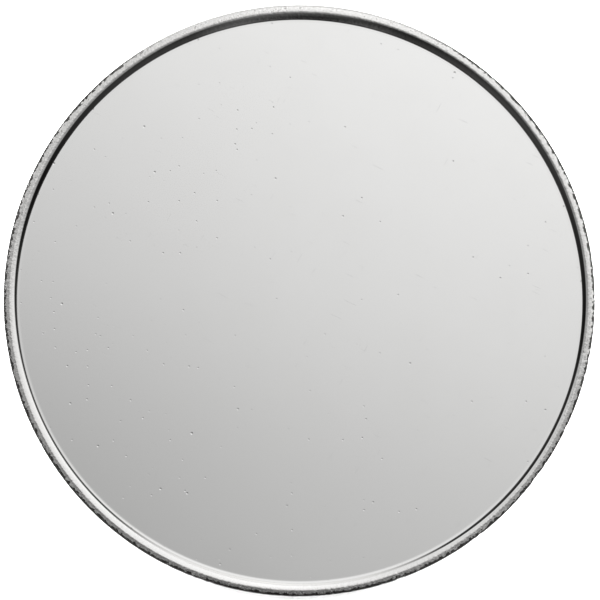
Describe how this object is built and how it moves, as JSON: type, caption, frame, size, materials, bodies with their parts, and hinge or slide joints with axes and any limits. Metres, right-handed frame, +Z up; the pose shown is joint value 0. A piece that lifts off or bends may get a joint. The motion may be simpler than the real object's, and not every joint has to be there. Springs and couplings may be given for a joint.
{
  "type": "coin display frame",
  "caption": "Round coin display frame standing on a folding easel leg: a beaded, polished press-on bezel holds a blank round in a drawn case.",
  "frame": {"origin": "on the table, under the middle of the frame's box, with the frame standing on its open leg", "axes": "+Z up; the face looks towards -Y and leans back 23.5 degrees from upright; +X to the right seen from the face"},
  "size_m": [0.042, 0.0254, 0.0402],
  "materials": {
    "polished_rim": "polished, finely pitted and nicked",
    "polished_disc": "mirror polished, with dust-size pits",
    "case_metal": "satin, turned",
    "cover_metal": "fine cast, satin",
    "leg_steel": "brushed along its length",
    "fastener_steel": "turned",
    "rivet_brass": "satin, slightly dulled",
    "soft_rubber": "matte",
    "nylon": "matte, slightly waxy",
    "black_felt": "pressed felt",
    "grey_foam": "closed-cell foam"
  },
  "bodies": {
    "case": {"case_body": "case_metal", "back_cover": "cover_metal", "felt_liner": "black_felt", "foam_cushion": "grey_foam", "cover_screw_1": "fastener_steel", "cover_screw_2": "fastener_steel", "cover_screw_3": "fastener_steel", "cover_screw_4": "fastener_steel", "cover_nut_1": "rivet_brass", "cover_nut_2": "rivet_brass", "cover_nut_3": "rivet_brass", "cover_nut_4": "rivet_brass", "rubber_pad_1": "soft_rubber", "rubber_pad_2": "soft_rubber", "rubber_pad_3": "soft_rubber", "rubber_pad_4": "soft_rubber", "hinge_bracket": "leg_steel", "hinge_pin": "fastener_steel", "hinge_rivet_left": "rivet_brass", "hinge_rivet_right": "rivet_brass", "friction_washer_left": "nylon", "friction_washer_right": "nylon"},
    "bezel": {"front_bezel": "polished_rim"},
    "disc": {"display_disc": "polished_disc"},
    "leg": {"easel_leg": "leg_steel", "leg_foot": "soft_rubber"}
  },
  "joints": [
    {"name": "bezel_pull", "type": "slide", "parent": "case", "child": "bezel", "axis": [0, -0.9171, 0.3987], "range_m": [0, 0.012]},
    {"name": "disc_lift", "type": "slide", "parent": "case", "child": "disc", "axis": [0, -0.9171, 0.3987], "range_m": [0, 0.006]},
    {"name": "leg_fold", "type": "hinge", "parent": "case", "child": "leg", "pos_m": [0, 0.00602, 0.02954], "axis": [1, 0, 0], "range_deg": [-35, 0]}
  ],
  "couplings": [
    {"joint": "disc_lift", "follows": "bezel_pull", "ratio": 0.5}
  ]
}
